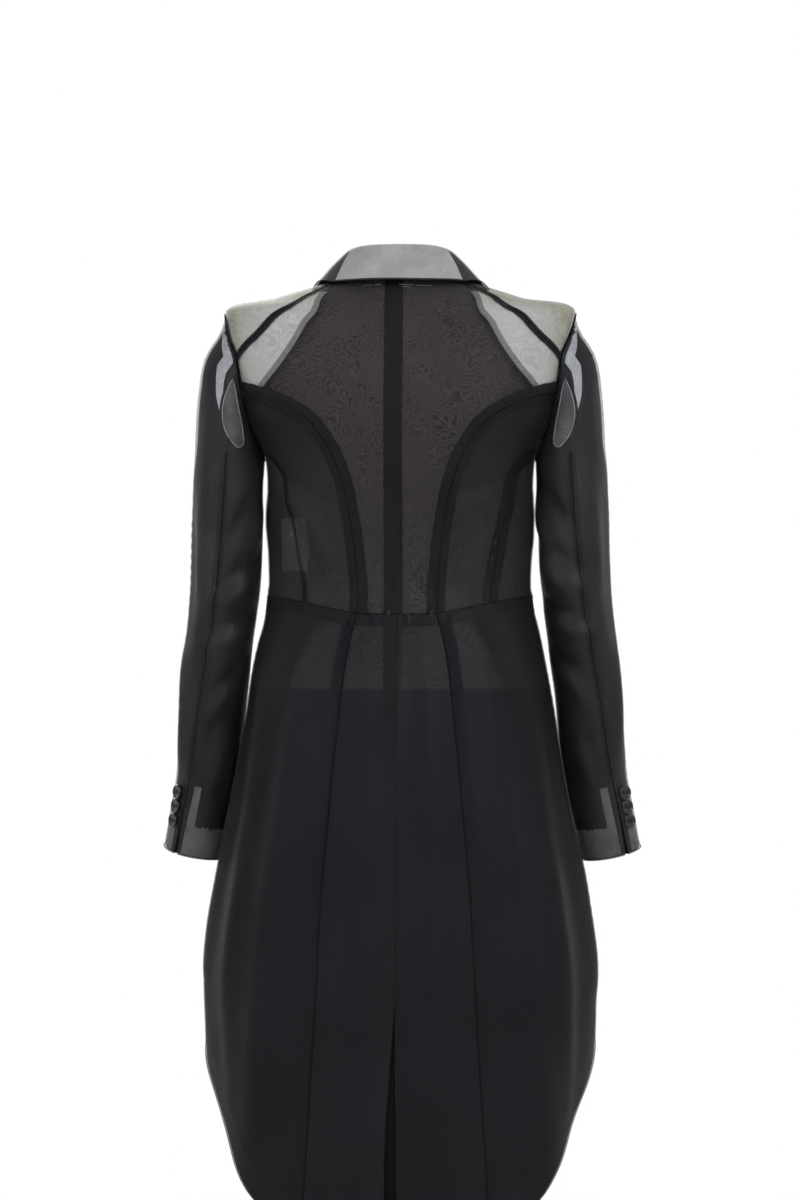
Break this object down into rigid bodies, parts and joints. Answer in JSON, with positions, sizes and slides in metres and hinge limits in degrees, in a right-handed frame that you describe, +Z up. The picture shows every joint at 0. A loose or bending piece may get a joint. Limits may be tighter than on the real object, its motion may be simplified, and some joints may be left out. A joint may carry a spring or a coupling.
{
  "type": "longline tail-skirted blazer",
  "caption": "Worn longline blazer in sheer organza, with notched collar, padded shoulders, buttoned vented cuffs, waist seam and a cutaway skirt with pleats and a back vent.",
  "frame": {"origin": "midway between the shoulder neck points, where the wearer's shoulders carry the garment", "axes": "+Z up, the garment's front faces -Y, the wearer's left is +X"},
  "size_m": [0.5672, 0.3004, 1.1418],
  "materials": {
    "organza": "sheer crisp black silk organza with a soft sheen, doubled with a dark underlayer",
    "padding": "ivory felted shoulder padding",
    "canvas": "grey hair canvas",
    "wadding": "pale blue-grey sleeve-head wadding",
    "interfacing": "pale woven interfacing",
    "label": "plain satin label",
    "button": "glossy black"
  },
  "bodies": {
    "root": {"back_left": "organza", "back_right": "organza", "side_back_left": "organza", "side_back_right": "organza", "front_left": "organza", "front_right": "organza", "lapel_left": "organza", "lapel_right": "organza", "skirt_back_left": "organza", "skirt_back_right": "organza", "skirt_side_left": "organza", "skirt_side_right": "organza", "sleeve_top_left": "organza", "sleeve_top_right": "organza", "sleeve_under_left": "organza", "sleeve_under_right": "organza", "collar": "organza", "shoulder_pad_left": "padding", "shoulder_pad_right": "padding", "sleeve_canvas_left": "canvas", "sleeve_canvas_right": "canvas", "sleeve_wadding_left": "wadding", "sleeve_wadding_right": "wadding", "cuff_interfacing_left": "interfacing", "cuff_interfacing_right": "interfacing", "collar_interfacing": "interfacing", "care_label": "label", "cuff_button_left_1": "button", "cuff_button_left_2": "button", "cuff_button_left_3": "button", "cuff_button_right_1": "button", "cuff_button_right_2": "button", "cuff_button_right_3": "button", "waist_button": "button"}
  },
  "joints": []
}
